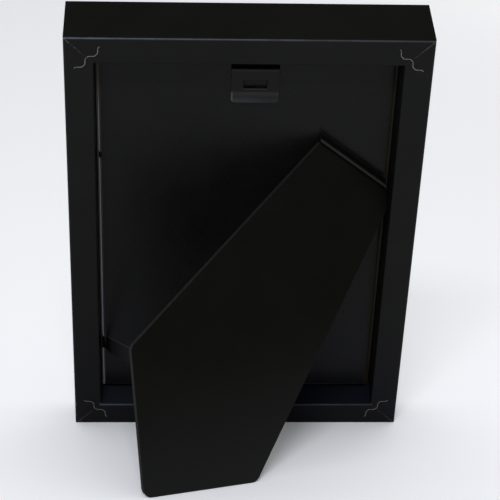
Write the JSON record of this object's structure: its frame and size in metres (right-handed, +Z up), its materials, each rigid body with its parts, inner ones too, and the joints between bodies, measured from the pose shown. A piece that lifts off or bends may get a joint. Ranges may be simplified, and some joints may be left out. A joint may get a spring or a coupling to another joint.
{
  "type": "easel back photo frame",
  "caption": "Small portrait wooden photo frame on a folding easel strut with a ribbon stay; its back panel is held by a sliding spring catch and lifts out.",
  "frame": {"origin": "centre of the footprint on the table, with the frame standing on its lower back edge and the strut's foot", "axes": "-Y is the way the picture faces, +Z is up, +X is the right side as seen from the front; the frame leans back about X"},
  "size_m": [0.1226, 0.0988, 0.1669],
  "materials": {
    "black_wood": "black lacquer over wood, satin",
    "nail_steel": "bare corrugated steel",
    "glass": "clear float glass",
    "insert_paper": "plain coated card",
    "greyboard": "raw greyboard",
    "black_paper": "fine-grained black covering paper",
    "black_steel": "black enamelled sheet",
    "spring_steel": "spring steel",
    "black_ribbon": "woven satin ribbon",
    "glue": "dark glue and cloth layer"
  },
  "bodies": {
    "frame": {"rail_top": "black_wood", "rail_bottom": "black_wood", "rail_left": "black_wood", "rail_right": "black_wood", "corner_fastener_top_left": "nail_steel", "corner_fastener_top_right": "nail_steel", "corner_fastener_bottom_left": "nail_steel", "corner_fastener_bottom_right": "nail_steel", "glass_pane": "glass", "photo_insert": "insert_paper"},
    "back_panel": {"back_board_core": "greyboard", "back_board_cover": "black_paper", "seat_prong_left": "spring_steel", "seat_prong_right": "spring_steel", "latch_spring": "spring_steel", "hinge_glue": "glue", "hinge_strip_core": "greyboard", "hinge_strip_cover": "black_paper", "ribbon_board_tail": "black_ribbon", "ribbon_stay": "black_ribbon"},
    "catch": {"latch_plate": "black_steel"},
    "strut": {"strut_core": "greyboard", "strut_cover": "black_paper", "strut_lining": "black_paper", "ribbon_strut_tail": "black_ribbon"}
  },
  "joints": [
    {"name": "panel_slide", "type": "slide", "parent": "frame", "child": "back_panel", "axis": [0, 0.914, -0.4057], "range_m": [0, 0.04]},
    {"name": "strut_hinge", "type": "hinge", "parent": "back_panel", "child": "strut", "pos_m": [-0.0501, 0.00985, 0.10078], "axis": [-0.7742, -0.2568, -0.5785], "range_deg": [0, 34.5], "deforming": ["ribbon_stay"]},
    {"name": "latch_slide", "type": "slide", "parent": "back_panel", "child": "catch", "axis": [0, -0.4057, -0.914], "range_m": [0, 0.003], "stiffness_N_per_m": 300, "springref_m": -0.002, "deforming": ["latch_spring"]}
  ]
}
